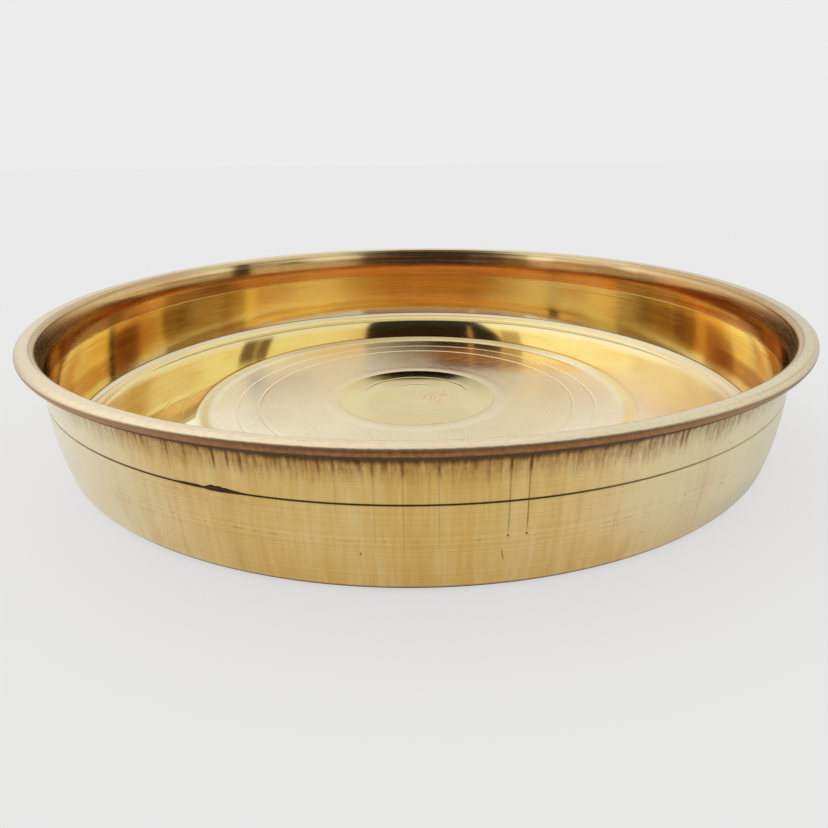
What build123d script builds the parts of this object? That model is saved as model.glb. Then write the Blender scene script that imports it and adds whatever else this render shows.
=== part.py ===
from build123d import *
from math import asin, atan2, cos, degrees, hypot, radians, sin, sqrt, tan
import os

# Deep brass thali plate: two turned sheets brazed at a seam in the wall, with a wired lip.
# Millimetres, +Z up, origin at the middle of the face that rests on the table.

# Overall size
plate_radius = 127.0
plate_height = 38.5

# Sheet
wall_thickness = 0.95
floor_thickness = 1.2

# Base: a flat ring touches the table, and the floor inside it is lifted a little
base_lift = 0.6
base_corner_radius = 3.6
rest_ring_width = 9.0
lift_run = 3.0

# Wall: upright, drawn in towards the base below the bulge and flared under the lip
lip_overhang = 5.5
wall_taper = 2.1
bulge_height = 13.0
flare_start = 28.5
flare_angle = 15.5

# Border of the floor: it stands higher than the middle, with a sloped step between them
step_inside_radius = 75.0
step_run = 3.6
step_height = 1.3

# Bevel between the inside of the wall and the floor
bevel_top_height = 5.2
bevel_run = 4.4
bevel_hollow = 0.45

# Rolled lip and the wire in it
wire_radius = 0.6
wire_clearance = 0.05
wire_end_gap = 1.0
bead_rise = 0.3
bend_radius = 0.8
curl_gap = 0.25

# Brazed seam: higher inside than outside, because both edges are scarfed
seam_height = 23.2
seam_rise = 1.8
seam_gap = 0.45
braze_clearance = 0.06
braze_recess = 0.12

# Turned rings in the middle of the floor: scribed ones, and a low raised one round the medallion
scribed_ring_radii = (12.0, 20.5, 58.2, 66.1)
scribed_ring_width = 0.8
scribed_ring_depth = 0.1
medallion_ring_radius = 32.0
medallion_ring_width = 6.0
medallion_ring_height = 0.18

# Sizes that follow from those above
wall_radius = plate_radius - lip_overhang
floor_top = base_lift + floor_thickness
step_outside_radius = step_inside_radius + step_run
border_under = base_lift + step_height
border_top = floor_top + step_height
bead_hollow_radius = wire_radius + wire_clearance
bead_radius = bead_hollow_radius + wall_thickness
bead_centre_radius = plate_radius - bead_radius
bead_centre_height = plate_height - bead_radius
flange_top = plate_height - bead_rise
flange_under = flange_top - wall_thickness
flare_sine = sin(radians(flare_angle))
flare_cosine = cos(radians(flare_angle))
bend_start_height = flange_under - bend_radius * (1 - flare_sine)
flare_height = bend_start_height - flare_start
flare_out = tan(radians(flare_angle)) * flare_height / 2
wall_top_radius = wall_radius + flare_out
bend_centre_radius = wall_top_radius + bend_radius * flare_cosine
bend_centre_height = bend_start_height - bend_radius * flare_sine
bend_outer_radius = bend_radius + wall_thickness
bend_turn = radians(180 - flare_angle)
bend_middle_turn = radians(135 - flare_angle / 2)
diagonal_share = sqrt(0.5)


def wall_outside(height):
    """Radius of the wall's outer face at a height."""
    taper_share = max(0, flare_start - height) / (flare_start - base_corner_radius)
    flare_share = max(0, height - flare_start) / flare_height
    return wall_radius - wall_taper * taper_share**3 + flare_out * flare_share**2


def wall_inside(height):
    """Radius of the wall's inner face at a height."""
    return wall_outside(height) - wall_thickness


def along_wall(face_radius, start_height, end_height):
    """Three points of a wall face, for an arc from one height to the other."""
    middle_height = (start_height + end_height) / 2
    heights = (start_height, middle_height, end_height)
    return [(face_radius(height), height) for height in heights]


def on_bend(radius, turn):
    """Point of a circle round the centre of the bend into the lip."""
    return (bend_centre_radius + radius * cos(turn), bend_centre_height + radius * sin(turn))


pan_edge_outside = seam_height - seam_gap / 2
pan_edge_inside = pan_edge_outside + seam_rise
band_edge_outside = seam_height + seam_gap / 2
band_edge_inside = band_edge_outside + seam_rise

base_radius = wall_outside(base_corner_radius) - base_corner_radius
rest_ring_radius = base_radius - rest_ring_width
lifted_radius = rest_ring_radius - lift_run
bevel_top_radius = wall_inside(bevel_top_height)
floor_radius = bevel_top_radius - bevel_run
bevel_rise = bevel_top_height - border_top
bevel_length = hypot(bevel_run, bevel_rise)
bevel_middle_radius = (bevel_top_radius + floor_radius) / 2 + bevel_hollow * bevel_rise / bevel_length
bevel_middle_height = (bevel_top_height + border_top) / 2 - bevel_hollow * bevel_run / bevel_length

# Pan: floor, bevelled corner and lower wall
with BuildPart() as pan:
    with BuildSketch(Plane.XZ):
        with BuildLine():
            Polyline(
                (0, floor_top),
                (0, base_lift),
                (step_inside_radius, base_lift),
                (step_outside_radius, border_under),
                (lifted_radius, border_under),
                (rest_ring_radius, 0),
                (base_radius, 0),
            )
            ThreePointArc(
                (base_radius, 0),
                (
                    base_radius + base_corner_radius * diagonal_share,
                    base_corner_radius * (1 - diagonal_share),
                ),
                (base_radius + base_corner_radius, base_corner_radius),
            )
            ThreePointArc(*along_wall(wall_outside, base_corner_radius, bulge_height))
            ThreePointArc(*along_wall(wall_outside, bulge_height, pan_edge_outside))
            Line(
                (wall_outside(pan_edge_outside), pan_edge_outside),
                (wall_inside(pan_edge_inside), pan_edge_inside),
            )
            ThreePointArc(*along_wall(wall_inside, pan_edge_inside, bulge_height))
            ThreePointArc(*along_wall(wall_inside, bulge_height, bevel_top_height))
            ThreePointArc(
                (bevel_top_radius, bevel_top_height),
                (bevel_middle_radius, bevel_middle_height),
                (floor_radius, border_top),
            )
            Polyline(
                (floor_radius, border_top),
                (step_outside_radius, border_top),
                (step_inside_radius, floor_top),
                (0, floor_top),
            )
        make_face()
    revolve(axis=Axis.Z)

    # Scribed rings: shallow turned grooves
    for ring_radius in scribed_ring_radii:
        with BuildSketch(Plane.XZ):
            with BuildLine():
                Polyline(
                    (ring_radius - scribed_ring_width / 2, floor_top),
                    (ring_radius, floor_top - scribed_ring_depth),
                    (ring_radius + scribed_ring_width / 2, floor_top),
                    close=True,
                )
            make_face()
        revolve(axis=Axis.Z, mode=Mode.SUBTRACT)

    # Medallion ring: low and rounded
    ring_inside = (medallion_ring_radius - medallion_ring_width / 2, floor_top)
    ring_crown = (medallion_ring_radius, floor_top + medallion_ring_height)
    ring_outside = (medallion_ring_radius + medallion_ring_width / 2, floor_top)
    with BuildSketch(Plane.XZ):
        with BuildLine():
            ThreePointArc(ring_inside, ring_crown, ring_outside)
            Line(ring_outside, ring_inside)
        make_face()
    revolve(axis=Axis.Z)

# Lip: the line from the flared flange touches the bead, and the sheet's edge ends under the flange
to_bead_radius = bead_centre_radius - bend_centre_radius
to_bead_height = bead_centre_height - flange_top
to_bead = hypot(to_bead_radius, to_bead_height)
touch_heading = atan2(to_bead_height, to_bead_radius) + asin(bead_radius / to_bead)
touch_length = sqrt(to_bead**2 - bead_radius**2)
touch_point = (
    bend_centre_radius + touch_length * cos(touch_heading),
    flange_top + touch_length * sin(touch_heading),
)
curl_end_height = flange_under - curl_gap
flare_middle = flare_start + flare_height / 2


def inner_side_of_bead(circle_radius, height):
    """Radius from the plate's axis to the inner side of a circle round the bead's centre."""
    return bead_centre_radius - sqrt(circle_radius**2 - (height - bead_centre_height) ** 2)


flange_meets_hollow = inner_side_of_bead(bead_hollow_radius, flange_under)
curl_end_inner = inner_side_of_bead(bead_hollow_radius, curl_end_height)
curl_end_outer = inner_side_of_bead(bead_radius, curl_end_height)

# Rim band: upper wall, flared flange and curled edge
with BuildPart() as rim_band:
    with BuildSketch(Plane.XZ):
        with BuildLine():
            ThreePointArc(*along_wall(wall_outside, band_edge_outside, flare_start))
            ThreePointArc(*along_wall(wall_outside, flare_start, bend_start_height))
            ThreePointArc(
                (wall_top_radius, bend_start_height),
                on_bend(bend_radius, bend_middle_turn),
                (bend_centre_radius, flange_under),
            )
            Line((bend_centre_radius, flange_under), (flange_meets_hollow, flange_under))
            ThreePointArc(
                (flange_meets_hollow, flange_under),
                (bead_centre_radius + bead_hollow_radius, bead_centre_height),
                (curl_end_inner, curl_end_height),
            )
            Line((curl_end_inner, curl_end_height), (curl_end_outer, curl_end_height))
            ThreePointArc(
                (curl_end_outer, curl_end_height),
                (
                    bead_centre_radius + bead_radius * diagonal_share,
                    bead_centre_height - bead_radius * diagonal_share,
                ),
                touch_point,
            )
            Line(touch_point, (bend_centre_radius, flange_top))
            ThreePointArc(
                (bend_centre_radius, flange_top),
                on_bend(bend_outer_radius, bend_middle_turn),
                on_bend(bend_outer_radius, bend_turn),
            )
            ThreePointArc(
                on_bend(bend_outer_radius, bend_turn),
                (wall_inside(flare_middle), flare_middle),
                (wall_inside(flare_start), flare_start),
            )
            ThreePointArc(*along_wall(wall_inside, flare_start, band_edge_inside))
            Line(
                (wall_inside(band_edge_inside), band_edge_inside),
                (wall_outside(band_edge_outside), band_edge_outside),
            )
        make_face()
    revolve(axis=Axis.Z)

# Rim wire: its two ends meet with a small gap
wire_turn = 360 - degrees(wire_end_gap / bead_centre_radius)
with BuildPart() as rim_wire:
    with BuildSketch(Plane.XZ):
        with Locations((bead_centre_radius, bead_centre_height)):
            Circle(wire_radius)
    revolve(axis=Axis.Z, revolution_arc=wire_turn)

# Seam braze: the filler in the scarfed gap, a little below both faces of the wall
recess_rise = seam_rise * braze_recess / wall_thickness
braze_outside = seam_height + recess_rise
braze_inside = seam_height + seam_rise - recess_rise
braze_half_height = seam_gap / 2 - braze_clearance
with BuildPart() as seam_braze:
    with BuildSketch(Plane.XZ):
        with BuildLine():
            Polyline(
                (wall_outside(seam_height) - braze_recess, braze_outside - braze_half_height),
                (wall_outside(seam_height) - braze_recess, braze_outside + braze_half_height),
                (wall_inside(seam_height + seam_rise) + braze_recess, braze_inside + braze_half_height),
                (wall_inside(seam_height + seam_rise) + braze_recess, braze_inside - braze_half_height),
                close=True,
            )
        make_face()
    revolve(axis=Axis.Z)

pan.part.label = "pan"
rim_band.part.label = "rim_band"
rim_wire.part.label = "rim_wire"
seam_braze.part.label = "seam_braze"

os.makedirs("parts", exist_ok=True)
export_step(pan.part, "parts/pan.step")
export_step(rim_band.part, "parts/rim_band.step")
export_step(rim_wire.part, "parts/rim_wire.step")
export_step(seam_braze.part, "parts/seam_braze.step")
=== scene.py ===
from math import asin, atan2, cos, hypot, pi, radians, sin, tan

import bmesh
import bpy
from mathutils import Euler, Matrix, Vector


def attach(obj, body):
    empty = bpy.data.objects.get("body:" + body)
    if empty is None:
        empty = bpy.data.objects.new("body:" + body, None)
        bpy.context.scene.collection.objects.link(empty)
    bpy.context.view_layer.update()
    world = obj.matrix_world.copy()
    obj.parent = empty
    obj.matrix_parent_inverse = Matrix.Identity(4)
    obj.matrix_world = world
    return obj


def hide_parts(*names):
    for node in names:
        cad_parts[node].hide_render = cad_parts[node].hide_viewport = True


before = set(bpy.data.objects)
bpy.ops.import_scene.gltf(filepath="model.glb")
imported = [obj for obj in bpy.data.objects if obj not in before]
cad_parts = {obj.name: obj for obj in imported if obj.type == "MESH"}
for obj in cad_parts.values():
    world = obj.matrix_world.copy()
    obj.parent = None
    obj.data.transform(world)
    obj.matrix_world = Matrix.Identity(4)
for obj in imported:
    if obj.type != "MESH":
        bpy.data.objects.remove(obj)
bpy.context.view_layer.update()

# A deep brass thali plate: two turned sheets that meet at a brazed seam, with a rolled lip.
# Sizes are in millimetres here and become metres where a mesh is made.
MM = 0.001
IN_MM = 1000
IN_DEGREES = 180 / pi
FULL_TURN = 2 * pi

# Plate
plate_radius = 126.99
plate_height = 38.5
wall_thickness = 0.95
floor_thickness = 1.2
base_lift = 0.6
base_corner_radius = 3.6
rest_ring_width = 9.0
lift_run = 3.0
wall_radius = 121.5
wall_taper = 2.1

# The border of the floor stands higher than its middle, with a soft step between them
step_inside = 75.0
step_outside = 78.6
step_height = 1.3
step_softness = 1.6

# Bevel between the inside of the wall and the floor
bevel_top_height = 5.2
bevel_run = 4.4
bevel_hollow = 0.45

# Rolled lip
bead_hollow_radius = 0.65
bead_rise = 0.3
bend_radius = 0.8
curl_gap = 0.25

# Flare of the wall's top towards the lip
flare_start = 28.5
flare_angle = radians(15.5)

# Brazed seam, and the tear in its outer edge at the left of the front
seam_height = 23.2
seam_rise = 1.8
seam_gap = 0.4
inner_seam_gap = 0.08
tear_turn = radians(-90 - 21.2)
tear_width = radians(4.8)
tear_depth = 0.85
tear_reach_down = 1.2
tear_reach_up = 1.6
tear_share_of_band = 1
tear_share_of_pan = -0.35

# Turned rings on the floor: radius, width and height, with a groove's height below zero
scribed_rings = ((12.0, 0.8, -0.01), (20.5, 0.9, -0.03), (58.2, 1.0, -0.15), (66.1, 1.0, -0.13))
fine_rings = ((84.8, 0.7, -0.012), (91.0, 0.7, -0.015), (98.3, 0.7, -0.012))
round_rings = ((32.0, 6.0, 0.14),)

# Points of the meshes: how many round the plate, how close to edges, and where along the profiles
columns_round = 480
edge_loop = 0.12
floor_edge_loop = 0.3
bevel_edge_share = 0.97
plain_floor_radii = (0.0, 4.0, 8.0, 16.0, 25.0, 40.0, 46.0, 52.0, 62.0, 70.0, 110.0)
underside_radii = (50.0, 20.0, 0.0)
groove_shares = (-0.8, -0.5, -0.25, 0, 0.25, 0.5, 0.8)
crown_edge_share = 0.55
step_points = 15
crown_points = 9
bevel_points = 11
inner_wall_points = 22
outer_wall_points = 20
corner_points = 9
band_wall_points = 14
under_bend_points = 6
over_bend_points = 9
over_bend_lip_points = 2
hollow_points = 22
bead_points = 30

# Sizes that follow from those above
floor_top = base_lift + floor_thickness
border_top = floor_top + step_height
bead_radius = bead_hollow_radius + wall_thickness
bead_centre = (plate_radius - bead_radius, plate_height - bead_radius)
flange_top = plate_height - bead_rise
flange_under = flange_top - wall_thickness
bend_start = flange_under - bend_radius * (1 - sin(flare_angle))
flare_height = bend_start - flare_start
flare_out = tan(flare_angle) * flare_height / 2
wall_top_radius = wall_radius + flare_out
bend_centre = (
    wall_top_radius + bend_radius * cos(flare_angle),
    bend_start - bend_radius * sin(flare_angle),
)


def wall_outside(height):
    """Radius of the wall's outer face: drawn in towards the base, flared towards the lip."""
    taper_share = max(0.0, flare_start - height) / (flare_start - base_corner_radius)
    flare_share = max(0.0, height - flare_start) / flare_height
    return wall_radius - wall_taper * taper_share**3 + flare_out * flare_share**2


def wall_inside(height):
    """Radius of the wall's inner face."""
    return wall_outside(height) - wall_thickness


def spaced(start, end, count):
    """Evenly spaced numbers, both ends included."""
    return [start + (end - start) * step / (count - 1) for step in range(count)]


def floor_height(radius):
    """Height of the floor's turned top at a radius."""
    soft_inside = step_inside - step_softness
    soft_outside = step_outside + step_softness
    share = min(1.0, max(0.0, (radius - soft_inside) / (soft_outside - soft_inside)))
    height = floor_top + step_height * share * share * (3 - 2 * share)
    for ring_radius, ring_width, ring_height in scribed_rings + fine_rings + round_rings:
        share = (radius - ring_radius) / (ring_width / 2)
        if abs(share) < 1:
            height += ring_height * (1 - share * share)
    return height


def floor_radii(floor_edge):
    """Radii that follow the rings closely and the plain floor loosely."""
    radii = {*plain_floor_radii, floor_edge - floor_edge_loop, floor_edge}
    radii.update(spaced(step_inside - step_softness, step_outside + step_softness, step_points))
    for ring_radius, ring_width, _ in scribed_rings + fine_rings:
        radii.update(ring_radius + ring_width * share for share in groove_shares)
    crown_shares = (-crown_edge_share, *spaced(-0.5, 0.5, crown_points), crown_edge_share)
    for ring_radius, ring_width, _ in round_rings:
        radii.update(ring_radius + ring_width * share for share in crown_shares)
    return sorted(radii)


# Finishes, in the order of the material list given to the turned pieces
FLOOR, INSIDE, OUTSIDE, LIP, UNDERSIDE, SEAM_EDGE = range(6)


def on_inside(height, finish=INSIDE):
    """Profile point on the wall's inner face."""
    return (wall_inside(height), height, finish, 0)


def on_outside(height, tear=0):
    """Profile point on the wall's outer face."""
    return (wall_outside(height), height, OUTSIDE, tear)


def pan_profile():
    """Points (radius, height, finish of the stretch that follows, share of the seam's tear)."""
    floor_edge = wall_inside(bevel_top_height) - bevel_run
    bevel_rise = bevel_top_height - border_top
    bevel_length = hypot(bevel_run, bevel_rise)
    points = [(radius, floor_height(radius), FLOOR, 0) for radius in floor_radii(floor_edge)]
    for share in (*spaced(0, 1, bevel_points)[1:-1], bevel_edge_share, 1):
        sag = bevel_hollow * 4 * share * (1 - share)
        radius = floor_edge + bevel_run * share + sag * bevel_rise / bevel_length
        height = border_top + bevel_rise * share - sag * bevel_run / bevel_length
        points.append((radius, height, FLOOR if share < 1 else INSIDE, 0))
    edge_outside = seam_height - seam_gap / 2
    edge_inside = seam_height + seam_rise - inner_seam_gap / 2
    wall_heights = spaced(bevel_top_height, edge_inside, inner_wall_points)[1:-1]
    for height in (bevel_top_height + edge_loop, *wall_heights, edge_inside - edge_loop):
        points.append(on_inside(height))
    points.append(on_inside(edge_inside, SEAM_EDGE))
    points.append(on_outside(edge_outside, tear_share_of_pan))
    points.append(on_outside(edge_outside - edge_loop, tear_share_of_pan))
    for height in spaced(edge_outside - tear_reach_down, base_corner_radius, outer_wall_points):
        points.append(on_outside(height))
    base_radius = wall_outside(base_corner_radius) - base_corner_radius
    for turn in spaced(0, pi / 2, corner_points)[1:-1]:
        radius = base_radius + base_corner_radius * cos(turn)
        height = base_corner_radius * (1 - sin(turn))
        points.append((radius, height, OUTSIDE, 0))
    rest_radius = base_radius - rest_ring_width
    border_under = base_lift + step_height
    underside = [(base_radius, 0.0), (rest_radius, 0.0), (rest_radius - lift_run, border_under)]
    underside += [(step_outside, border_under), (step_inside, base_lift)]
    underside += [(radius, base_lift) for radius in underside_radii]
    return points + [(*place, UNDERSIDE, 0) for place in underside]


def arc(centre, radius, start, end, count):
    """Points (radius, height) on a circle."""
    turns = spaced(start, end, count)
    return [(centre[0] + radius * cos(turn), centre[1] + radius * sin(turn)) for turn in turns]


def band_profile():
    """Points of the upper wall and its rolled lip, from the seam's outside round to the seam again."""
    edge_outside = seam_height + seam_gap / 2
    edge_inside = seam_height + seam_rise + inner_seam_gap / 2
    points = [on_outside(edge_outside, tear_share_of_band)]
    points.append(on_outside(edge_outside + edge_loop, tear_share_of_band))
    for height in spaced(edge_outside + tear_reach_up, bend_start, band_wall_points):
        points.append(on_outside(height))
    bend_under = arc(bend_centre, bend_radius, pi - flare_angle, pi / 2, under_bend_points)
    points += [(*place, OUTSIDE, 0) for place in bend_under[1:]]

    # The lip's hollow, then its rounded outside, up to where the flange touches it
    curl_end = flange_under - curl_gap - bead_centre[1]
    hollow_start = pi - asin((flange_under - bead_centre[1]) / bead_hollow_radius)
    hollow_end = -pi - asin(curl_end / bead_hollow_radius)
    bead_start = -pi - asin(curl_end / bead_radius)
    to_bead = (bead_centre[0] - bend_centre[0], bead_centre[1] - flange_top)
    touch = atan2(to_bead[1], to_bead[0]) + asin(bead_radius / hypot(*to_bead))
    lip = arc(bead_centre, bead_hollow_radius, hollow_start, hollow_end, hollow_points)
    lip += arc(bead_centre, bead_radius, bead_start, touch + pi / 2, bead_points)
    bend_over_radius = bend_radius + wall_thickness
    bend_over = arc(bend_centre, bend_over_radius, pi / 2, pi - flare_angle, over_bend_points)
    lip += bend_over[:over_bend_lip_points]
    points += [(*place, LIP, 0) for place in lip]

    points += [(*place, INSIDE, 0) for place in bend_over[over_bend_lip_points:]]
    wall_heights = spaced(bend_start, edge_inside, inner_wall_points)[:-1]
    for height in (*wall_heights, edge_inside + edge_loop):
        points.append(on_inside(height))
    points.append(on_inside(edge_inside, SEAM_EDGE))
    points.append(points[0])
    return points


# Node trees

class Reading:
    """A node's output, so that sums on it add Math nodes to its tree."""

    def __init__(self, bench, socket):
        self.bench = bench
        self.socket = socket

    def sum(self, operation, *values):
        """A Math node with this reading as its first value."""
        numbered = dict(enumerate((self, *values)))
        return self.bench.make("ShaderNodeMath", {"operation": operation}, numbered)

    def __add__(self, other):
        return self.sum("ADD", other)

    __radd__ = __add__

    def __mul__(self, other):
        return self.sum("MULTIPLY", other)

    __rmul__ = __mul__

    def __sub__(self, other):
        return self.sum("SUBTRACT", other)

    def __rsub__(self, other):
        return self.bench.make("ShaderNodeMath", {"operation": "SUBTRACT"}, {0: other, 1: self})

    def __truediv__(self, other):
        return self.sum("DIVIDE", other)

    def __rtruediv__(self, other):
        return self.bench.make("ShaderNodeMath", {"operation": "DIVIDE"}, {0: other, 1: self})

    def __pow__(self, other):
        return self.sum("POWER", other)

    def __neg__(self):
        return self * -1

    def least(self, other):
        return self.sum("MINIMUM", other)

    def most(self, other):
        return self.sum("MAXIMUM", other)

    def size(self):
        return self.sum("ABSOLUTE")

    def swing(self, size):
        """Noise made into a change that goes both ways from zero."""
        return (self - 0.5) * size

    def rising(self, low, high):
        """0 up to low, 1 from high, smooth between; low may lie above high."""
        values = {"Value": self, "From Min": low, "From Max": high}
        return self.bench.make("ShaderNodeMapRange", {"interpolation_type": "SMOOTHSTEP"}, values)


class Bench:
    """Makes nodes in one tree."""

    def __init__(self, tree):
        self.tree = tree

    def make(self, kind, settings=None, values=None, output=0):
        """Adds a node, sets its settings, then its sockets, and gives one of its outputs."""
        node = self.tree.nodes.new(kind)
        for name, setting in (settings or {}).items():
            setattr(node, name, setting)
        for name, value in (values or {}).items():
            self.fill(node.inputs[name], value)
        return Reading(self, node.outputs[output]) if node.outputs else node

    def fill(self, socket, value):
        """Links a reading to a socket, or sets a value on it; a colour gets its alpha."""
        if isinstance(value, Reading):
            self.tree.links.new(value.socket, socket)
        elif socket.type == "RGBA":
            socket.default_value = (*value, 1)
        else:
            socket.default_value = value

    def sibling(self, reading, output):
        """Another output of the node that a reading comes from."""
        return Reading(self, reading.socket.node.outputs[output])

    def parts(self, vector):
        """X, Y and Z of a vector."""
        across = self.make("ShaderNodeSeparateXYZ", None, {"Vector": vector})
        return across, self.sibling(across, "Y"), self.sibling(across, "Z")

    def joined(self, across, along, up):
        """A vector from X, Y and Z."""
        return self.make("ShaderNodeCombineXYZ", None, {"X": across, "Y": along, "Z": up})

    def stretched(self, vector, scale):
        return self.make("ShaderNodeVectorMath", {"operation": "MULTIPLY"}, {0: vector, 1: scale})

    def shifted(self, vector, shift):
        return self.make("ShaderNodeVectorMath", {"operation": "ADD"}, {0: vector, 1: shift})

    def noise(self, vector, detail=3.0, roughness=0.5):
        values = {"Vector": vector, "Scale": 1.0, "Detail": detail, "Roughness": roughness}
        return self.make("ShaderNodeTexNoise", None, values)

    def mixed(self, share, first, second):
        """A colour between two colours."""
        values = {"Factor": share, 6: first, 7: second}
        return self.make("ShaderNodeMix", {"data_type": "RGBA"}, values, 2)


# Turned pieces: a profile carried round the plate's axis

# Columns crowd together at the tear, whose ragged edge has so many noise cells to the radian
crowding = 0.6
ragged_cells = 110

# Ripple of the sheets: its noise is read on a circle so many cells in radius, with cells to the metre
# upwards. It grows by so many shares to the metre from the axis and from the base, and fades out
# between two radii in millimetres at the lip.
sheet_ripple = 0.12
ripple_circle = 3.2
ripple_cells_up = 45
ripple_growth_out = 18
ripple_growth_up = 120
ripple_fade_radii = (124.5, 122.5)

# Distances in metres below which points of a mesh are joined
seam_join = 1e-6
double_join = 1e-7
shortest_edge = 1e-8


def turning_tree(finishes):
    """Geometry nodes that carry a profile's points round the axis, with a tear in the seam's edge."""
    tree = bpy.data.node_groups.new("turned_sheet", "GeometryNodeTree")
    add = tree.interface.new_socket
    add("Geometry", in_out="INPUT", socket_type="NodeSocketGeometry")
    for name, kind in (
        ("Around", "NodeSocketInt"),
        ("Profile Points", "NodeSocketInt"),
        ("Tear Turn", "NodeSocketFloat"),
        ("Tear Width", "NodeSocketFloat"),
        ("Tear Depth", "NodeSocketFloat"),
        ("Ripple", "NodeSocketFloat"),
    ):
        add(name, in_out="INPUT", socket_type=kind)
    add("Geometry", in_out="OUTPUT", socket_type="NodeSocketGeometry")
    bench = Bench(tree)
    given = tree.nodes.new("NodeGroupInput")

    def size(name):
        return Reading(bench, given.outputs[name])

    def at_point(index, value, kind):
        settings = {"data_type": kind, "domain": "POINT"}
        values = {"Geometry": size("Geometry"), "Value": value, "Index": index}
        return bench.make("GeometryNodeSampleIndex", settings, values)

    def named(name, kind):
        return bench.make("GeometryNodeInputNamedAttribute", {"data_type": kind}, {"Name": name})

    around = size("Around")
    count = size("Profile Points")
    sheet = bench.make("GeometryNodeMeshGrid", None, {"Vertices X": around + 1, "Vertices Y": count})
    index = bench.make("GeometryNodeInputIndex")
    column = (index / count).sum("FLOOR")
    row = index - column * count
    place = at_point(row, bench.make("GeometryNodeInputPosition"), "FLOAT_VECTOR")
    radius, _, height = bench.parts(place)

    # Steps round the plate are closer together at the tear, where the edge is ragged
    step = column / around * FULL_TURN
    turn = size("Tear Turn") + step - step.sum("SINE") * crowding
    off_tear = (step - step.sum("SINE") * crowding + pi).sum("WRAP", FULL_TURN, 0) - pi
    ragged_place = bench.joined((size("Tear Turn") + off_tear) * ragged_cells, 0, 0)
    ragged = bench.noise(ragged_place, detail=2.0)
    share = off_tear / size("Tear Width")
    main_gap = share.rising(-0.2, 0.02) * share.rising(0.95, 0.1)
    side_gap = (share + 0.5).size().rising(0.5, 0.1)
    opening = (main_gap + side_gap * 0.35) * (ragged * 1.3 + 0.2) * size("Tear Depth")
    tear = at_point(row, named("tear", "FLOAT"), "FLOAT")

    # The sheet isn't quite true, except at its axis, its base and its lip
    ripple_place = bench.joined(
        turn.sum("COSINE") * ripple_circle,
        turn.sum("SINE") * ripple_circle,
        height * ripple_cells_up,
    )
    ripple = bench.noise(ripple_place, detail=1.0) - 0.5
    ripple = ripple * size("Ripple") * (radius * ripple_growth_out).least(1.0)
    ripple = ripple * (height * ripple_growth_up).least(1.0)
    radius = radius + ripple * (radius * IN_MM).rising(*ripple_fade_radii)
    height = height + opening * tear
    position = bench.joined(radius * turn.sum("COSINE"), radius * turn.sum("SINE"), height)
    sheet = bench.make("GeometryNodeSetPosition", None, {"Geometry": sheet, "Position": position})

    # Each strip of faces takes the finish of its stretch of the profile
    strips = count - 1
    strip = index - (index / strips).sum("FLOOR") * strips
    finish = at_point(strip, named("finish", "INT"), "INT")
    settings = {"data_type": "INT", "domain": "FACE"}
    values = {"Geometry": sheet, "Name": "finish", "Value": finish}
    sheet = bench.make("GeometryNodeStoreNamedAttribute", settings, values)
    sheet = bench.make("GeometryNodeMergeByDistance", None, {"Geometry": sheet, "Distance": seam_join})
    sheet = bench.make("GeometryNodeRealizeInstances", None, {"Geometry": sheet})
    equal = {"data_type": "INT", "operation": "EQUAL"}
    for number, material in enumerate(finishes):
        chosen = bench.make("FunctionNodeCompare", equal, {2: named("finish", "INT"), 3: number})
        values = {"Geometry": sheet, "Selection": chosen, "Material": material}
        sheet = bench.make("GeometryNodeSetMaterial", None, values)
    bench.make("NodeGroupOutput", None, {"Geometry": sheet})
    return tree


def turned_piece(name, profile, tree, sizes):
    """A closed mesh made from a profile by the turning tree."""
    sizes = {**sizes, "Profile Points": len(profile)}
    line = bpy.data.meshes.new(name + "_profile")
    line.from_pydata([(radius * MM, 0, height * MM) for radius, height, _, _ in profile], [], [])
    finish = line.attributes.new("finish", "INT", "POINT")
    finish.data.foreach_set("value", [point[2] for point in profile])
    tear = line.attributes.new("tear", "FLOAT", "POINT")
    tear.data.foreach_set("value", [float(point[3]) for point in profile])
    blank = bpy.data.objects.new(name + "_profile", line)
    bpy.context.collection.objects.link(blank)
    modifier = blank.modifiers.new("turned", "NODES")
    modifier.node_group = tree
    for socket in tree.interface.items_tree:
        if socket.in_out == "INPUT" and socket.name in sizes:
            modifier[socket.identifier] = sizes[socket.name]
    depsgraph = bpy.context.evaluated_depsgraph_get()
    mesh = bpy.data.meshes.new_from_object(blank.evaluated_get(depsgraph), depsgraph=depsgraph)
    blank.modifiers.remove(modifier)
    bpy.data.objects.remove(blank)
    mesh.name = name
    work = bmesh.new()
    work.from_mesh(mesh)
    bmesh.ops.remove_doubles(work, verts=work.verts, dist=double_join)
    bmesh.ops.dissolve_degenerate(work, edges=work.edges, dist=shortest_edge)
    bmesh.ops.recalc_face_normals(work, faces=work.faces)
    work.to_mesh(mesh)
    work.free()
    mesh.shade_smooth()
    piece = bpy.data.objects.new(name, mesh)
    bpy.context.collection.objects.link(piece)
    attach(piece, "root")
    return piece


# Finishes

# Share of a full turn that spreads the shine across the grain, which runs round the plate
grain_turn = 0.25


def new_finish(name):
    """An empty material and the bench for its nodes."""
    material = bpy.data.materials.new(name)
    material.use_nodes = True
    material.node_tree.nodes.clear()
    return material, Bench(material.node_tree)


def finished(bench, height, colour, metallic, roughness, brushing=0.0):
    """Ends a finish: a height in millimetres becomes its bump, and brushing draws out its shine."""
    bump = {"Strength": 1.0, "Distance": MM, "Height": height}
    values = {
        "Base Color": colour,
        "Metallic": metallic,
        "Roughness": roughness,
        "Normal": bench.make("ShaderNodeBump", None, bump),
        "Anisotropic": brushing,
        "Anisotropic Rotation": grain_turn if brushing else 0.0,
    }
    shader = bench.make("ShaderNodeBsdfPrincipled", None, values)
    bench.make("ShaderNodeOutputMaterial", None, {"Surface": shader})


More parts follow.
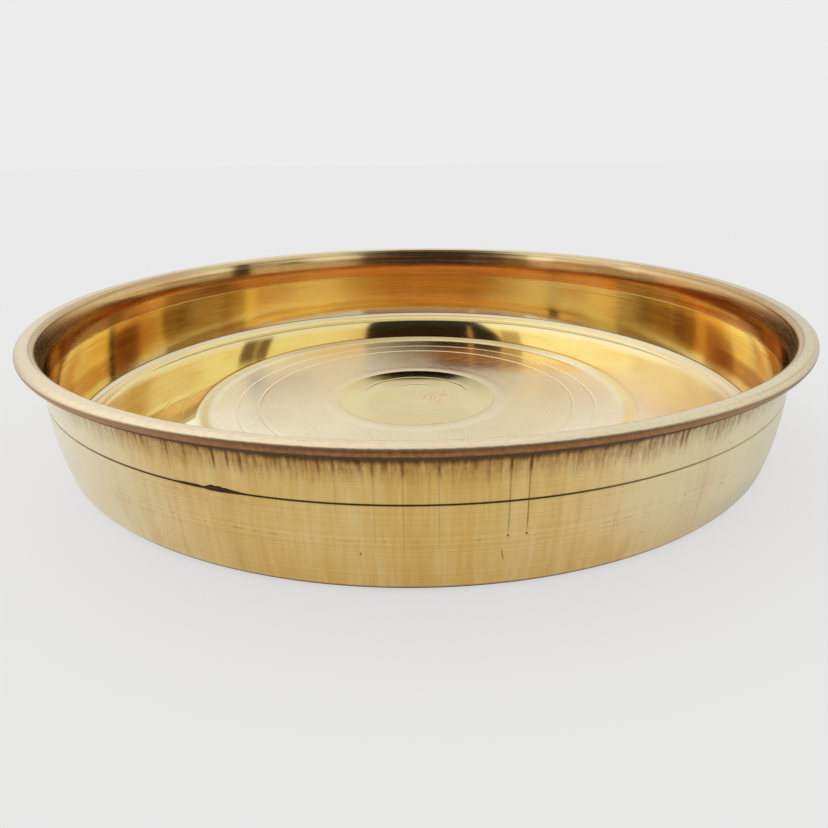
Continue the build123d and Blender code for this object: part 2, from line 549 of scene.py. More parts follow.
class Surface:
    """Where a point of the plate is, in millimetres and in degrees.

    turn is counted from the front and off_back from the back, both with the right above zero.
    """

    def __init__(self, bench, upright=False):
        place = bench.make("ShaderNodeTexCoord", None, None, "Object")
        self.bench = bench
        self.place = bench.stretched(place, (IN_MM, IN_MM, IN_MM))
        self.across, self.along, self.up = bench.parts(self.place)
        self.radius = (self.across * self.across + self.along * self.along) ** 0.5
        self.turn = self.across.sum("ARCTAN2", -self.along) * IN_DEGREES
        self.off_back = self.across.sum("ARCTAN2", self.along) * IN_DEGREES
        if upright:
            # Marks stand upright on the flare where noise is read at one radius
            share = wall_radius / self.radius
            self.place = bench.joined(self.across * share, self.along * share, self.up)

    def grain(self, side, up, detail=2.0, roughness=0.5, shift=0.0):
        """Noise with so many cells to the millimetre sideways and upwards."""
        place = self.bench.stretched(self.place, (side, side, up))
        if shift:
            place = self.bench.shifted(place, (shift, shift, shift))
        return self.bench.noise(place, detail=detail, roughness=roughness)

    def rings(self, cells, detail=2.0, roughness=0.6, shift=0.0):
        """Noise that runs round the plate in turned lines, with so many cells to the millimetre."""
        drift = self.grain(0.02, 0.0, detail=1.0, shift=shift)
        place = self.bench.joined(self.radius * cells, drift * 2, shift)
        return self.bench.noise(place, detail=detail, roughness=roughness)


def stripe(reading, middle, half_width):
    """1 on a line, falling to 0 at a distance from it."""
    return (reading - middle).size().rising(half_width, half_width * 0.25)


def between(reading, opening, closing):
    """1 inside a stretch, with a soft start and a soft end."""
    return reading.rising(*opening) * reading.rising(*closing)


def shaded(bench, colour, light, pale, deep, deepening=None):
    """A colour that turns paler where light is above zero and deeper where it is below."""
    colour = bench.mixed(light.most(0.0), colour, pale)
    shadow = (-light).most(0.0)
    if deepening is not None:
        shadow = shadow * deepening
    return bench.mixed(shadow, colour, deep)


# Stains that ran down from the lip: degrees round from the front, height where they end, strength
drip_runs = (
    (-31.6, 29.5, 0.5),
    (-29.5, 29.0, 0.5),
    (-26.2, 27.0, 0.7),
    (-20.4, 27.0, 1.0),
    (-18.8, 27.5, 0.8),
    (-17.4, 27.5, 0.9),
    (-15.8, 28.5, 0.6),
    (-13.6, 28.5, 0.6),
    (-12.3, 29.0, 0.5),
    (-9.4, 28.0, 0.8),
    (-8.0, 28.2, 0.8),
    (-5.5, 28.8, 0.6),
    (-4.3, 28.0, 0.7),
    (-1.5, 27.5, 0.8),
    (1.9, 27.8, 0.8),
    (5.2, 29.2, 0.6),
    (8.7, 28.0, 1.0),
    (10.6, 27.4, 1.1),
    (25.2, 28.6, 0.7),
    (26.0, 29.0, 0.6),
    (27.9, 27.2, 0.9),
    (28.6, 27.8, 0.8),
    (31.6, 29.0, 0.6),
    (35.4, 28.6, 0.6),
    (37.6, 28.4, 0.7),
    (42.5, 28.8, 0.6),
)
thin_runs = (
    (-26.2, 24.5, 0.3),
    (-8.0, 18.0, 0.15),
    (-4.3, 11.0, 0.16),
    (-1.5, 10.0, 0.22),
    (1.9, 11.0, 0.18),
    (8.7, 15.0, 0.4),
    (10.6, 15.0, 0.55),
)
# The last two thin runs end in a drop
runs_with_drops = thin_runs[-2:]
drop_height = 15.0


def outside_finish():
    """Outside of the wall: brushed gold with a stained top."""
    deep_gold = (0.76, 0.505, 0.155)
    side_gold = (0.88, 0.77, 0.5)
    base_gold = (0.7, 0.43, 0.125)
    pale_line = (0.9, 0.78, 0.44)
    deep_line = (0.5, 0.27, 0.06)
    left_sheen = (0.99, 0.94, 0.8)
    right_shade_grey = (0.72, 0.66, 0.44)
    lower_right_shade_grey = (0.54, 0.5, 0.33)
    copper_blush = (0.66, 0.36, 0.14)
    brown_haze = (0.36, 0.17, 0.045)
    grey_haze = (0.3, 0.19, 0.075)
    run_brown = (0.17, 0.07, 0.018)
    under_lip_shade_black = (0.085, 0.045, 0.02)
    dirt_and_shade_brown = (0.14, 0.07, 0.025)
    material, bench = new_finish("turned_wall_brass")
    on = Surface(bench, upright=True)

    # Tone: deep gold at the front, paler towards the sides
    clouds = on.grain(0.035, 0.05, detail=3.0)
    bands = on.grain(0.17, 0.006, detail=3.0, roughness=0.6)
    lines = on.grain(0.004, 2.6, detail=3.0, roughness=0.65)
    weave = on.grain(0.9, 0.09, detail=2.0, roughness=0.6, shift=7.0)
    side_paling = ((on.across + 6).size() / 95 + clouds * 0.5 - 0.25).rising(0.12, 1.05)
    colour = bench.mixed(side_paling, deep_gold, side_gold)
    low = on.up.rising(15.0, 3.0) * on.across.rising(-75.0, 0.0) * 0.55
    colour = bench.mixed(low, colour, base_gold)
    light = bands.swing(1.1) + lines.swing(0.85) + weave.swing(0.75) + clouds.swing(0.6)
    colour = shaded(bench, colour, light, pale_line, deep_line)
    # Painted light: a sheen on the left, where the light is brighter, and painted shade greying the
    # right side and its lower part
    colour = bench.mixed(on.across.rising(-66.0, -112.0) * 0.85, colour, left_sheen)
    colour = bench.mixed(on.across.rising(40.0, 100.0) * 0.75, colour, right_shade_grey)
    right_base = on.across.rising(50.0, 90.0) * on.up.rising(11.0, 4.0)
    colour = bench.mixed(right_base * 0.5, colour, lower_right_shade_grey)

    # A coppery blush under the tear in the seam
    blush = stripe(on.turn, -21.5, 9.0) * stripe(on.up, 22.0, 3.2)
    blush = blush * on.grain(0.5, 0.6, detail=3.0).rising(0.35, 0.65)
    colour = bench.mixed(blush * 0.5, colour, copper_blush)

    # Haze under the lip, darkest in the corner: brown at the front, greyer at the right
    mottle = on.grain(0.8, 0.22, detail=3.0, roughness=0.6, shift=11.0)
    hairs = on.grain(1.7, 0.03, detail=2.0, roughness=0.6, shift=3.0)
    broad = on.grain(0.11, 0.0, detail=2.0, roughness=0.5, shift=5.0)
    dots = on.grain(1.1, 0.8, detail=3.0, roughness=0.6, shift=21.0)
    front = 0.25 + (on.turn - 3).size().rising(54.0, 31.0) * 0.75
    reach = on.up + hairs.swing(1.8) + mottle.swing(2.5) + broad.swing(5)
    blotch = mottle.rising(0.28, 0.75)
    haze = 0.5 + blotch * 0.4 + hairs.swing(0.6) + dots.swing(0.9)
    haze = (reach.rising(26.2, 32.8) * haze * front).least(1.0).most(0.0)
    haze = haze.most((on.up + mottle.swing(2.0)).rising(30.4, 33.4) * front * 0.75)
    haze_colour = bench.mixed(on.across.rising(15.0, 75.0), brown_haze, grey_haze)
    colour = bench.mixed(haze, colour, haze_colour)

    # Stains that run down from the lip, a scratch, and painted shade in the corner under the lip
    stain = (hairs - 0.5).most(0.0) * on.up.rising(24.5, 33.0) * front * (0.5 + blotch * 0.9)
    for turn, end, strength in drip_runs:
        run = stripe(on.turn, turn, 0.26) * on.up.rising(end, end + 4.0)
        stain = stain.most(run * strength * 0.85)
    for turn, end, strength in thin_runs:
        run = stripe(on.turn, turn, 0.13) * on.up.rising(end - 0.4, end + 3.0)
        stain = stain.most(run * strength)
    for turn, _, strength in runs_with_drops:
        drop = stripe(on.turn, turn, 0.2) * stripe(on.up, drop_height, 0.5)
        stain = stain.most(drop * (strength + 0.3))
    scratch = stripe(on.turn + on.up * 0.1, 9.3, 0.14) * stripe(on.up, 10.0, 2.2) * 0.5
    stain = stain.most(scratch).least(0.92)
    colour = bench.mixed(stain, colour, run_brown)
    # Painted shade under the lip, strongest at the front
    under_lip_shade = (on.up + mottle.swing(1.6)).rising(31.9, 33.6) * on.turn.size().rising(58.0, 32.0)
    colour = bench.mixed(under_lip_shade * 0.9, colour, under_lip_shade_black)

    # A faint scored line below the seam, small pits, the dark edge of the seam, and painted contact
    # shade along the base
    score = stripe(on.up + clouds.swing(1.2), 14.4, 0.26)
    score = score * on.grain(0.5, 0.0, detail=3.0, roughness=0.7, shift=2.0).rising(0.5, 0.66)
    small_pits = on.grain(1.3, 1.3, detail=1.0, roughness=0.5, shift=9.0).rising(0.78, 0.84)
    large_pits = on.grain(0.5, 0.5, detail=1.0, roughness=0.5, shift=4.0).rising(0.8, 0.84)
    pits = small_pits + large_pits
    seam = stripe(on.up, seam_height, 0.42) * (0.55 - on.turn.rising(8.0, 35.0) * 0.4)
    base_contact_shade = on.up.rising(2.3, 1.1) * (1 - on.turn.size().rising(25.0, 60.0) * 0.5)
    dirt_and_shade = (score * 0.35).most(pits.least(1.0) * 0.5).most(seam).most(base_contact_shade * 0.85)
    colour = bench.mixed(dirt_and_shade, colour, dirt_and_shade_brown)

    dull = (stain * 0.6).most(under_lip_shade).most(dirt_and_shade)
    roughness = 0.36 + bands.swing(0.16) + lines.swing(0.14) + dull * 0.25 + base_contact_shade * 0.2
    height = lines * 0.008 + weave * 0.01 + mottle * dull * 0.02 - pits * 0.02 - score * 0.01
    metallic = (1 - dull * 0.2 - base_contact_shade * 0.75).most(0.0)
    finished(bench, height, colour, metallic, roughness, brushing=0.35)
    return material


def lip_finish():
    """Rolled lip: pale on top, coppery on its outer side, with a dark line at the front and painted
    shade under it.
    """
    left_gold = (0.9, 0.76, 0.52)
    right_gold = (0.78, 0.7, 0.46)
    back_gold = (0.77, 0.65, 0.42)
    dent_gold = (0.72, 0.52, 0.26)
    edge_shade_grey = (0.5, 0.39, 0.29)
    bend_shade_brown = (0.24, 0.15, 0.07)
    deep_copper = (0.3, 0.135, 0.05)
    bright_copper = (0.4, 0.19, 0.075)
    left_copper = (0.5, 0.29, 0.15)
    right_copper = (0.36, 0.22, 0.11)
    line_and_shade_brown = (0.085, 0.044, 0.02)
    material, bench = new_finish("rolled_lip_brass")
    on = Surface(bench)
    clouds = on.grain(0.05, 0.05, detail=3.0)
    dents = on.grain(0.8, 0.8, detail=3.0, roughness=0.6)
    fine = on.grain(3.0, 3.0, detail=2.0, roughness=0.6, shift=3.0)
    # Painted light: paler gold at the left, where the light is brighter, and greyer at the right
    right = (on.across / 120 + (clouds - 0.5)).rising(-0.1, 0.75)
    colour = bench.mixed(right, left_gold, right_gold)
    back = on.along.rising(-50.0, 5.0) * (1 - right * 0.7)
    colour = bench.mixed(back * 0.85, colour, back_gold)
    colour = bench.mixed((dents - 0.45).most(0.0) * 1.4, colour, dent_gold)

    # At the sides, painted shade darkens it towards its edge and where it bends into the wall
    beside = on.across.size().rising(80.0, 112.0)
    shoulder = on.radius.rising(125.9, 126.8)
    colour = bench.mixed(beside * (0.22 + shoulder * 0.6), colour, edge_shade_grey)
    bend = on.radius.rising(123.7, 122.7)
    colour = bench.mixed(beside * bend * 0.85, colour, bend_shade_brown)

    # Its outer side is coppery between a dark line at the front and painted shade under the bead, and
    # coppery lower down at the sides
    outer = on.radius.rising(124.9, 125.5)
    sides = on.across.size().rising(25.0, 95.0)
    level = on.up + dents.swing(0.3) + sides * 0.5
    under = level.rising(38.05, 37.55) * outer
    copper = bench.mixed(dents.rising(0.35, 0.65), deep_copper, bright_copper)
    copper = bench.mixed(sides, copper, bench.mixed(right, left_copper, right_copper))
    colour = bench.mixed(under, colour, copper)
    edge = stripe(level, 37.8, 0.36) * outer * (1 - sides)
    # Painted shade under the bead, with a dark line along the front edge
    edge_line_and_under_shade = (edge * 0.75).most(level.rising(36.7, 36.2))
    colour = bench.mixed(edge_line_and_under_shade, colour, line_and_shade_brown)
    roughness = 0.3 + dents.swing(0.3) + under * 0.12 + edge_line_and_under_shade * 0.35
    height = dents * 0.035 + fine * 0.008
    finished(bench, height, colour, 1 - edge_line_and_under_shade * 0.85, roughness)
    return material


def inside_finish():
    """Inside of the wall: polished, with an orange band above the seam and a tarnished top."""
    band_left = (0.66, 0.33, 0.11)
    band_right = (0.82, 0.34, 0.08)
    painted_band_glint = (0.95, 0.6, 0.22)
    band_ends = (0.37, 0.16, 0.05)
    top_left = (0.74, 0.49, 0.17)
    top_right = (0.56, 0.28, 0.09)
    painted_top_glint = (0.9, 0.62, 0.22)
    top_brown = (0.36, 0.19, 0.07)
    top_far_right = (0.72, 0.39, 0.14)
    top_ends = (0.72, 0.46, 0.23)
    crown_back = (0.98, 0.8, 0.44)
    crown_sides = (0.74, 0.52, 0.27)
    shadow_brown = (0.075, 0.055, 0.04)
    yellow_brass = (0.97, 0.76, 0.28)
    orange_brass = (0.93, 0.6, 0.17)
    hot_low = (0.75, 0.35, 0.09)
    hot_high = (0.66, 0.26, 0.06)
    left_end_brown = (0.64, 0.28, 0.085)
    right_end_brown = (0.45, 0.17, 0.045)
    pale_bottom = (0.95, 0.82, 0.5)
    pale_line = (0.97, 0.78, 0.34)
    deep_line = (0.5, 0.24, 0.06)
    tarnish_brown = (0.19, 0.1, 0.045)
    dirt_and_shade_brown = (0.16, 0.08, 0.03)
    material, bench = new_finish("polished_wall_brass")
    on = Surface(bench)
    lines = on.grain(0.01, 2.2, detail=4.0, roughness=0.7)
    scratches = on.grain(0.06, 3.2, detail=2.0, roughness=0.6, shift=6.0)
    clouds = on.grain(0.06, 0.12, detail=3.0)
    upright = on.grain(0.25, 0.02, detail=3.0, roughness=0.6, shift=2.0)
    patches = on.grain(0.03, 0.1, detail=4.0, roughness=0.6, shift=8.0)
    smears = on.grain(0.02, 0.8, detail=4.0, roughness=0.7, shift=15.0)
    to_side = on.off_back.size()
    rightward = (on.across / 100 + clouds.swing(0.6)).rising(-1.0, -0.25)

    # Band above the seam, with a painted glint towards each side
    upper = (on.up + clouds.swing(1.5)).rising(24.4, 25.8)
    band_colour = bench.mixed(rightward, band_left, band_right)
    band_colour = bench.mixed(stripe(to_side, 62.0, 12.0) * 0.8, band_colour, painted_band_glint)
    band_colour = bench.mixed(to_side.rising(70.0, 80.0) * 0.8, band_colour, band_ends)

    # Flared top, with a painted glint at the back left, a paler crown and a dark patch at the back
    top = (on.up + clouds.swing(2.0)).rising(29.6, 31.6)
    crown = (on.up + clouds.swing(1.5)).rising(34.3, 35.6)
    shadowed = stripe(on.off_back, 5.0, 26.0)
    top_colour = bench.mixed(rightward, top_left, top_right)
    top_colour = bench.mixed(stripe(on.off_back, -25.0, 13.0) * 0.5, top_colour, painted_top_glint)
    browned = stripe(to_side, 54.0, 19.0) * (0.65 + on.across.rising(0.0, 40.0) * 0.25)
    top_colour = bench.mixed(browned, top_colour, top_brown)
    top_colour = bench.mixed(on.across.rising(102.0, 115.0) * 0.8, top_colour, top_far_right)
    top_colour = bench.mixed(to_side.rising(88.0, 98.0) * 0.7, top_colour, top_ends)
    crown_colour = bench.mixed(to_side.rising(48.0, 64.0), crown_back, crown_sides)
    top_colour = bench.mixed(crown * 0.85, top_colour, crown_colour)
    top_colour = bench.mixed(shadowed * 0.97, top_colour, shadow_brown)

    # Yellow brass with orange patches, most orange at the back, brown at both ends, pale at the bottom
    colour = bench.mixed(patches.rising(0.5, 0.75), yellow_brass, orange_brass)
    hot = stripe(on.off_back, 4.0, 29.0) * (on.up + clouds.swing(4.0)).rising(6.5, 10.5)
    hot_colour = bench.mixed(on.up.rising(12.0, 15.0), hot_low, hot_high)
    colour = bench.mixed(hot * 0.85, colour, hot_colour)
    ends = to_side.rising(77.0, 86.0) * on.up.rising(6.0, 8.0) * on.up.rising(17.0, 13.0)
    near_ends = to_side.rising(54.0, 62.0) * on.up.rising(8.0, 10.0) * on.up.rising(24.0, 20.0)
    ends = ends.most(near_ends * 0.35)
    end_brown = bench.mixed(on.across.rising(0.0, 1.0), left_end_brown, right_end_brown)
    colour = bench.mixed(ends * 0.85, colour, end_brown)
    low = (on.up + clouds.swing(2.0)).rising(9.5, 6.5)
    colour = bench.mixed(low, colour, pale_bottom)
    colour = bench.mixed(upper, colour, bench.mixed(top, band_colour, top_colour))
    light = lines.swing(1.5) + smears.swing(1.2) + upright.swing(0.4) + clouds.swing(0.4)
    colour = shaded(bench, colour, light, pale_line, deep_line, 0.3 + upper * 0.8)

    # Tarnish under the lip, and dirt in the seam, a scored line and a few specks, with painted shade in
    # the crease
    tarnish = (on.up + clouds.swing(1.2)).rising(36.0, 37.0) * (0.25 + shadowed * 0.5)
    colour = bench.mixed(tarnish, colour, tarnish_brown)
    groove = stripe(on.up + clouds.swing(0.5), 22.1, 0.3) * patches.rising(0.4, 0.6) * 0.25
    seam = stripe(on.up, seam_height + seam_rise, 0.3) * 0.2
    crease_shade = stripe(on.up, bevel_top_height, 0.5) * 0.8
    specks = on.grain(0.8, 0.8, detail=1.0, roughness=0.5, shift=12.0).rising(0.8, 0.84) * 0.7
    dirt_and_shade = groove.most(seam).most(crease_shade).most(specks)
    colour = bench.mixed(dirt_and_shade, colour, dirt_and_shade_brown)

    dull_ends = top * to_side.rising(76.0, 96.0)
    roughness = 0.07 + upper * 0.05 + (scratches - 0.45).most(0.0) * 0.3
    roughness = roughness + dirt_and_shade * 0.3 + tarnish * 0.15 + dull_ends * 0.11
    height = lines * 0.004 + scratches * 0.004 + upright * 0.004
    finished(bench, height, colour, 1.0, roughness, brushing=0.45)
    return material


def floor_finish():
    """Floor: a satin middle round a polished medallion, and a polished border with its bevel."""
    border_left = (0.97, 0.94, 0.68)
    border_right = (0.98, 0.97, 0.95)
    border_front = (0.95, 0.85, 0.48)
    bevel_low = (0.97, 0.94, 0.84)
    bevel_high = (0.78, 0.7, 0.46)
    satin_left = (0.88, 0.79, 0.56)
    satin_right = (0.88, 0.77, 0.5)
    satin_edge_front = (0.99, 0.94, 0.76)
    satin_edge_back = (0.94, 0.77, 0.43)
    ring_gold = (0.9, 0.79, 0.54)
    medallion_gold = (0.73, 0.6, 0.28)
    worn_medallion = (0.86, 0.74, 0.38)
    dark_reflection_gold = (0.6, 0.46, 0.2)
    step_left = (0.8, 0.68, 0.34)
    step_right = (0.99, 0.84, 0.4)
    step_back = (0.57, 0.44, 0.19)
    pale_line = (0.97, 0.9, 0.66)
    deep_line = (0.6, 0.45, 0.2)
    pitted_gold = (0.84, 0.6, 0.28)
    pit_brown = (0.5, 0.33, 0.12)
    material, bench = new_finish("polished_floor_brass")
    on = Surface(bench)
    lines = on.rings(1.6, detail=4.0, roughness=0.7)
    fine = on.rings(5.0, detail=2.0, roughness=0.6, shift=3.0)
    clouds = on.grain(0.05, 0.05, detail=3.0)

    # Wiping marks cross the satin middle in two directions
    swirl = on.grain(0.012, 0.012, detail=1.0, roughness=0.5, shift=4.0).swing(60)
    wipe_side = (on.across + on.along * 0.26 + swirl) * 1.3
    wipe_run = (on.along - on.across * 0.26) * 0.07
    wipe = bench.noise(bench.joined(wipe_side, wipe_run, 0), detail=1.0)
    cross_side = (on.along - on.across * 0.5 - swirl) * 1.0
    cross_run = (on.across + on.along * 0.5) * 0.06
    cross = bench.noise(bench.joined(cross_side, cross_run, 5), detail=1.0)
    hairs = wipe.rising(0.5, 0.66).most(cross.rising(0.56, 0.72))

    # Zones
    middle = on.radius.rising(79.8, 76.4)
    medallion = on.radius.rising(30.2, 28.8)
    ring = on.radius.rising(35.6, 34.6) * (1 - medallion)
    satin = middle * (1 - medallion)
    step = stripe(on.radius, 78.0, 3.4)
    bevel = on.up.rising(border_top + 0.02, border_top + 0.6)
    to_side = on.off_back.size()
    behind = to_side.rising(60.0, 30.0)
    ahead = to_side.rising(92.0, 122.0) * (1 - middle) * (1 - bevel)
    # Painted dark reflection on the medallion at the back
    medallion_dark_reflection = stripe(on.radius, 16.0, 5.0) * behind
    worn = medallion * (on.across.size() + clouds.swing(16)).rising(13.0, 27.0)

    # Border, bevel, satin, medallion and step
    border = bench.mixed(on.across.rising(30.0, 90.0), border_left, border_right)
    bevel_colour = bench.mixed(on.up.rising(3.7, 4.7), bevel_low, bevel_high)
    colour = bench.mixed(bevel, border, bevel_colour)
    satin_edge = bench.mixed(behind, satin_edge_front, satin_edge_back)
    satin_tone = bench.mixed(on.across.rising(-20.0, 30.0), satin_left, satin_right)
    satin_tone = bench.mixed(on.radius.rising(48.0, 72.0), satin_tone, satin_edge)
    colour = bench.mixed(middle, colour, satin_tone)
    colour = bench.mixed(ring, colour, ring_gold)
    medallion_colour = bench.mixed(worn, medallion_gold, worn_medallion)
    colour = bench.mixed(medallion, colour, medallion_colour)
    step_colour = bench.mixed(on.across.rising(-30.0, 30.0), step_left, step_right)
    step_colour = bench.mixed(behind, step_colour, step_back)
    colour = bench.mixed(step * 0.85, colour, step_colour)
    colour = bench.mixed(ahead * 0.7, colour, border_front)
    # Painted dark reflection at the back of the medallion
    colour = bench.mixed(medallion_dark_reflection * 0.7, colour, dark_reflection_gold)
    light = lines.swing(0.4) + clouds.swing(0.5)
    light = light + (wipe - 0.5) * satin * 0.3 + (cross - 0.5) * satin * 0.2
    colour = shaded(bench, colour, light, pale_line, deep_line)

    # Small pits gather near the middle
    pits_across = on.across - 9
    pits_along = on.along + 3
    off_pits = (pits_across * pits_across + pits_along * pits_along) ** 0.5
    cells = {"Vector": on.place, "Scale": 0.9}
    pits = bench.make("ShaderNodeTexVoronoi", None, cells, "Distance").rising(0.36, 0.16)
    patch = (off_pits + clouds.swing(8)).rising(11.0, 5.0)
    pitted = pits * patch * on.grain(0.3, 0.3, detail=2.0).rising(0.4, 0.6)
    colour = bench.mixed(patch * 0.4, colour, pitted_gold)
    colour = bench.mixed(pitted * 0.5, colour, pit_brown)

    # The satin is glossier at the back right, and the border is hazy at the right
    glossy_side = on.across.rising(-22.0, 4.0) * 0.45 + on.across.rising(2.0, 16.0) * 0.45
    matt = 1 - glossy_side * on.along.rising(16.0, 40.0)
    hazy = between(on.off_back, (62.0, 80.0), (150.0, 125.0)) * (1 - middle)
    roughness = 0.045 + satin * (0.06 + matt * 0.25) + worn * 0.2
    roughness = roughness + lines.swing(0.04) + pitted * 0.2 + hazy * 0.22
    height = lines * (0.0006 + satin * 0.002) + fine * 0.0006 + hairs * satin * 0.022 - pitted * 0.02
    finished(bench, height, colour, 1.0, roughness, brushing=0.45)
    return material


def underside_finish():
    """Underside: dull, with a ring worn bright where the plate rests."""
    deep_brass = (0.66, 0.45, 0.16)
    pale_brass = (0.78, 0.6, 0.28)
    rubbed_brass = (0.9, 0.78, 0.48)
    tarnish_brown = (0.22, 0.13, 0.05)
    material, bench = new_finish("underside_brass")
    on = Surface(bench)
    lines = on.rings(0.9, detail=4.0, roughness=0.7)
    clouds = on.grain(0.05, 0.05, detail=4.0, roughness=0.6)
    scuff_side = (on.across + on.along * 0.4) * 0.9
    scuff_run = (on.along - on.across * 0.4) * 0.05
    scuffs = bench.noise(bench.joined(scuff_side, scuff_run, 2), detail=3.0)
    colour = bench.mixed(clouds.rising(0.35, 0.65), deep_brass, pale_brass)
    worn = stripe(on.radius, 111.3, 5.5) * (0.4 + scuffs)
    colour = bench.mixed(worn.least(1.0) * 0.6, colour, rubbed_brass)
    dark = (clouds * 0.6 + lines * 0.5).rising(0.62, 0.8) * 0.45
    colour = bench.mixed(dark, colour, tarnish_brown)
    roughness = 0.4 + lines.swing(0.2) + dark * 0.2 - worn * 0.08
    height = lines * 0.02 + scuffs * 0.008
    metallic = 1 - dark * 0.4
    finished(bench, height, colour, metallic, roughness, brushing=0.3)
    return material


def oxide_finish():
    """Braze and the sheets' edges in the seam: black at the front, with painted light making them paler
    at the sides.
    """
    black_oxide = (0.035, 0.016, 0.006)
    brown_oxide = (0.1, 0.048, 0.015)
    painted_light_braze = (0.74, 0.56, 0.27)
    material, bench = new_finish("seam_oxide")
    on = Surface(bench)
    grit = on.grain(2.2, 2.2, detail=3.0, roughness=0.6)
    colour = bench.mixed(grit.rising(0.35, 0.65), black_oxide, brown_oxide)
    # Painted light in the recess at the sides
    sides = on.turn.rising(10.0, 42.0).most(on.turn.rising(-28.0, -55.0))
    colour = bench.mixed(sides * 0.9, colour, painted_light_braze)
    finished(bench, grit * 0.05, colour, 0.35, 0.55 + grit * 0.3)
    return material


def wire_finish():
    """Drawn wire inside the lip."""
    deep_brass = (0.5, 0.32, 0.12)
    pale_brass = (0.74, 0.56, 0.28)
    material, bench = new_finish("drawn_wire_brass")
    on = Surface(bench)
    drawn = on.grain(0.3, 3.0, detail=3.0, roughness=0.6)
    colour = bench.mixed(drawn.rising(0.3, 0.7), deep_brass, pale_brass)
    finished(bench, drawn * 0.01, colour, 1.0, 0.35 + drawn * 0.2)
    return material


floor_brass = floor_finish()
inside_brass = inside_finish()
outside_brass = outside_finish()
lip_brass = lip_finish()
underside_brass = underside_finish()
seam_oxide = oxide_finish()
wire_brass = wire_finish()
finishes = (floor_brass, inside_brass, outside_brass, lip_brass, underside_brass, seam_oxide)

# Pieces: the two sheets are made here, and the braze and the wire stay as they are
turning = turning_tree(finishes)
sheet_sizes = {
    "Around": columns_round,
    "Tear Turn": tear_turn,
    "Tear Width": tear_width,
    "Tear Depth": tear_depth * MM,
    "Ripple": sheet_ripple * MM,
}
pan = turned_piece("turned_pan", pan_profile(), turning, sheet_sizes)
band = turned_piece("rolled_rim_band", band_profile(), turning, sheet_sizes)
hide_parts("pan")
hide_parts("rim_band")
for node, finish in (("seam_braze", seam_oxide), ("rim_wire", wire_brass)):
    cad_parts[node].data.materials.clear()
    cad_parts[node].data.materials.append(finish)

# Studio: a pale floor, and soft light from all round with a brighter left and a dark camera side
floor_half = 3000 * MM
paper_grey = (0.92, 0.92, 0.92)
glow_grey = (0.84, 0.84, 0.84)
glow_share = 0.72
floor_corners = [
    (-floor_half, -floor_half, 0),
    (floor_half, -floor_half, 0),
    (floor_half, floor_half, 0),
    (-floor_half, floor_half, 0),
]

floor_mesh = bpy.data.meshes.new("studio_floor")
floor_mesh.from_pydata(floor_corners, [], [(0, 1, 2, 3)])
studio_floor = bpy.data.objects.new("studio_floor", floor_mesh)
bpy.context.collection.objects.link(studio_floor)
floor_paper, bench = new_finish("floor_paper")
paper = bench.make("ShaderNodeBsdfDiffuse", None, {"Color": paper_grey})
glow = bench.make("ShaderNodeEmission", None, {"Color": glow_grey})
seen = bench.make("ShaderNodeLightPath", None, None, "Is Camera Ray")
seen = seen.most(bench.sibling(seen, "Is Glossy Ray")).most(bench.sibling(seen, "Is Transmission Ray"))
surface = bench.make("ShaderNodeMixShader", None, {"Fac": seen * glow_share, 1: paper, 2: glow})
bench.make("ShaderNodeOutputMaterial", None, {"Surface": surface})
floor_mesh.materials.append(floor_paper)


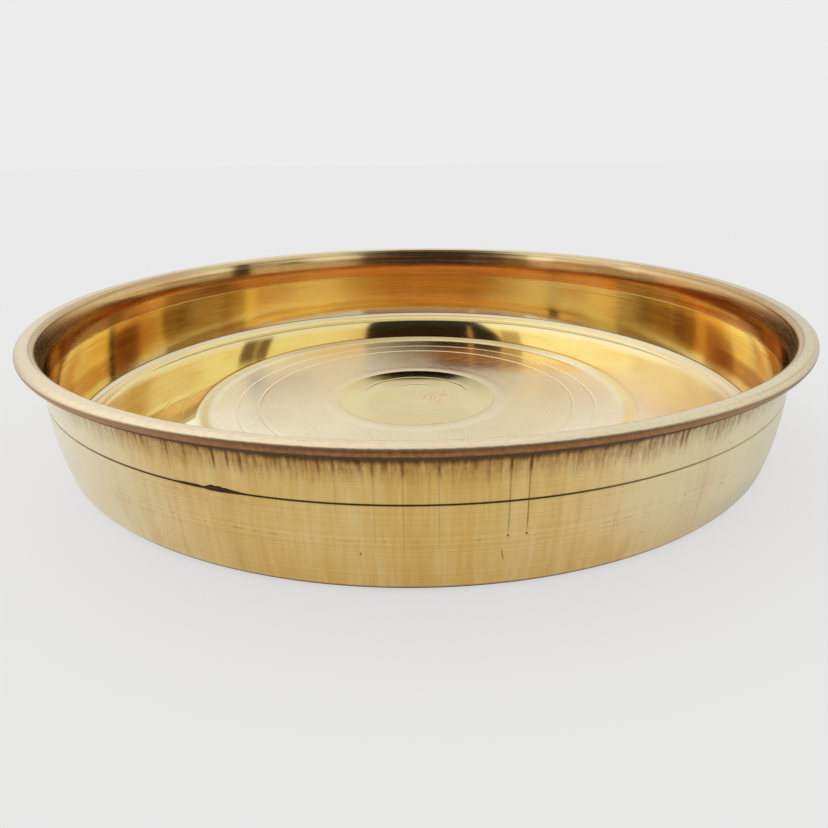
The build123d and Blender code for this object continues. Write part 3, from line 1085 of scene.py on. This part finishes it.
def studio_light():
    """Soft light whose darker patches give the polished brass something to show.

    turn is in degrees round from the camera's side, with the right above zero, and rise is in
    degrees above the floor.
    """
    world = bpy.data.worlds.new("studio")
    world.use_nodes = True
    world.node_tree.nodes.clear()
    bench = Bench(world.node_tree)
    heading = bench.make("ShaderNodeTexCoord", None, None, "Generated")
    across, along, up = bench.parts(heading)
    turn = across.sum("ARCTAN2", -along) * IN_DEGREES
    rise = up.sum("ARCSINE") * IN_DEGREES

    # Level of the light: brighter at the left, a little dimmer overhead and low down
    left = (-across).rising(-0.5, 0.9)
    overhead = rise.rising(55.0, 85.0)
    dim = rise.rising(21.0, 9.0) * (0.35 - turn.size().rising(45.0, 65.0) * 0.25)
    level = (0.86 + left * 0.22 - overhead * 0.06) * (1 - dim)
    backdrop = turn.size().rising(100.0, 130.0) * rise.rising(24.0, 12.0)
    level = level * (1 - backdrop) + backdrop * 0.84

    # Camera side: dark under a lopsided arch, brown lower down
    arch_right = ((turn + 8.0).most(0.0) / 31.0) ** 4.0 * 18.0
    arch_left = ((-8.0 - turn).most(0.0) / 30.0) ** 2.0 * 24.0
    arch = 51.0 - arch_right - arch_left
    camera_side = between(turn, (-40.0, -38.0), (23.0, 21.0)) * (rise - arch).rising(2.0, -2.0)
    camera_side = camera_side * (1 - stripe(turn, -25.0, 1.4) * rise.rising(36.0, 28.0) * 0.6)
    low_side = camera_side * rise.rising(22.0, 18.5)
    low_brown = low_side * (0.5 + stripe(rise, 14.0, 2.6) * 0.2)

    # Dark and brown cards to either side, and dim corners behind
    left_card = between(turn, (-48.5, -47.5), (-39.0, -40.0)) * rise.rising(33.0, 30.0)
    left_low_card = between(turn, (-92.0, -86.0), (-58.0, -60.0)) * stripe(rise, 14.5, 4.0)
    left_slats = between(turn, (-46.0, -43.0), (-17.0, -20.0)) * stripe(rise, 14.0, 2.2)
    right_card = between(turn, (66.5, 67.5), (81.0, 80.0))
    right_card = right_card * rise.rising(35.0, 32.5) * rise.rising(20.5, 22.5)
    right_card = right_card * (1 - stripe(turn, 73.0, 1.6) * 0.3)
    right_strip = between(turn, (68.0, 69.5), (77.0, 76.0)) * rise.rising(20.5, 18.5)
    right_low_card = between(turn, (40.0, 50.0), (68.5, 67.5))
    right_low_card = right_low_card * rise.rising(18.0, 16.5) * rise.rising(11.5, 13.0)
    corners = stripe(turn.size(), 136.0, 14.0) * rise.rising(29.5, 28.0) * rise.rising(14.0, 18.0)
    corners = corners * (1 - (-turn).rising(0.0, 90.0) * 0.6)

    # The patches dim red least and blue most
    dark = 1 - (camera_side - low_side) * 0.97
    shade = (1 - right_card * 0.8) * (1 - right_strip * 0.93) * (1 - left_card * 0.45)
    brown = (1 - left_slats * 0.45) * (1 - low_brown)
    brown = brown * (1 - right_low_card * 0.74) * (1 - left_low_card * 0.5)
    red = level * dark * shade * brown * (1 - corners * 0.26)
    green = level * dark * shade**1.2 * brown**1.4 * (1 - corners * 0.37)
    blue = level * dark**0.94 * shade**1.45 * brown**1.6 * (1 - corners * 0.55)
    light = bench.joined(red, green, blue)
    glow = bench.make("ShaderNodeBackground", None, {"Color": light, "Strength": 1.0})
    bench.make("ShaderNodeOutputWorld", None, {"Surface": glow})
    bpy.context.scene.world = world


studio_light()

# Camera, found from the outlines of the rim, seam and base in the photograph
image_width = 828
focal_pixels = 670.0
sensor_width = 36
camera_place = Vector((-0.79, -238.9, 90.35)) * MM
camera_pitch = radians(21.978)
camera_roll = radians(-0.719)
lens = bpy.data.cameras.new("camera")
lens.sensor_width = sensor_width
lens.lens = sensor_width * focal_pixels / image_width
lens.clip_start = 10 * MM
camera = bpy.data.objects.new("camera", lens)
camera.location = camera_place
camera.rotation_mode = "QUATERNION"
tilt = Euler((pi / 2 - camera_pitch, 0, 0)).to_matrix()
camera.rotation_quaternion = (tilt @ Matrix.Rotation(camera_roll, 3, "Z")).to_quaternion()
bpy.context.collection.objects.link(camera)
bpy.context.scene.camera = camera
bpy.context.scene.view_settings.view_transform = "Standard"
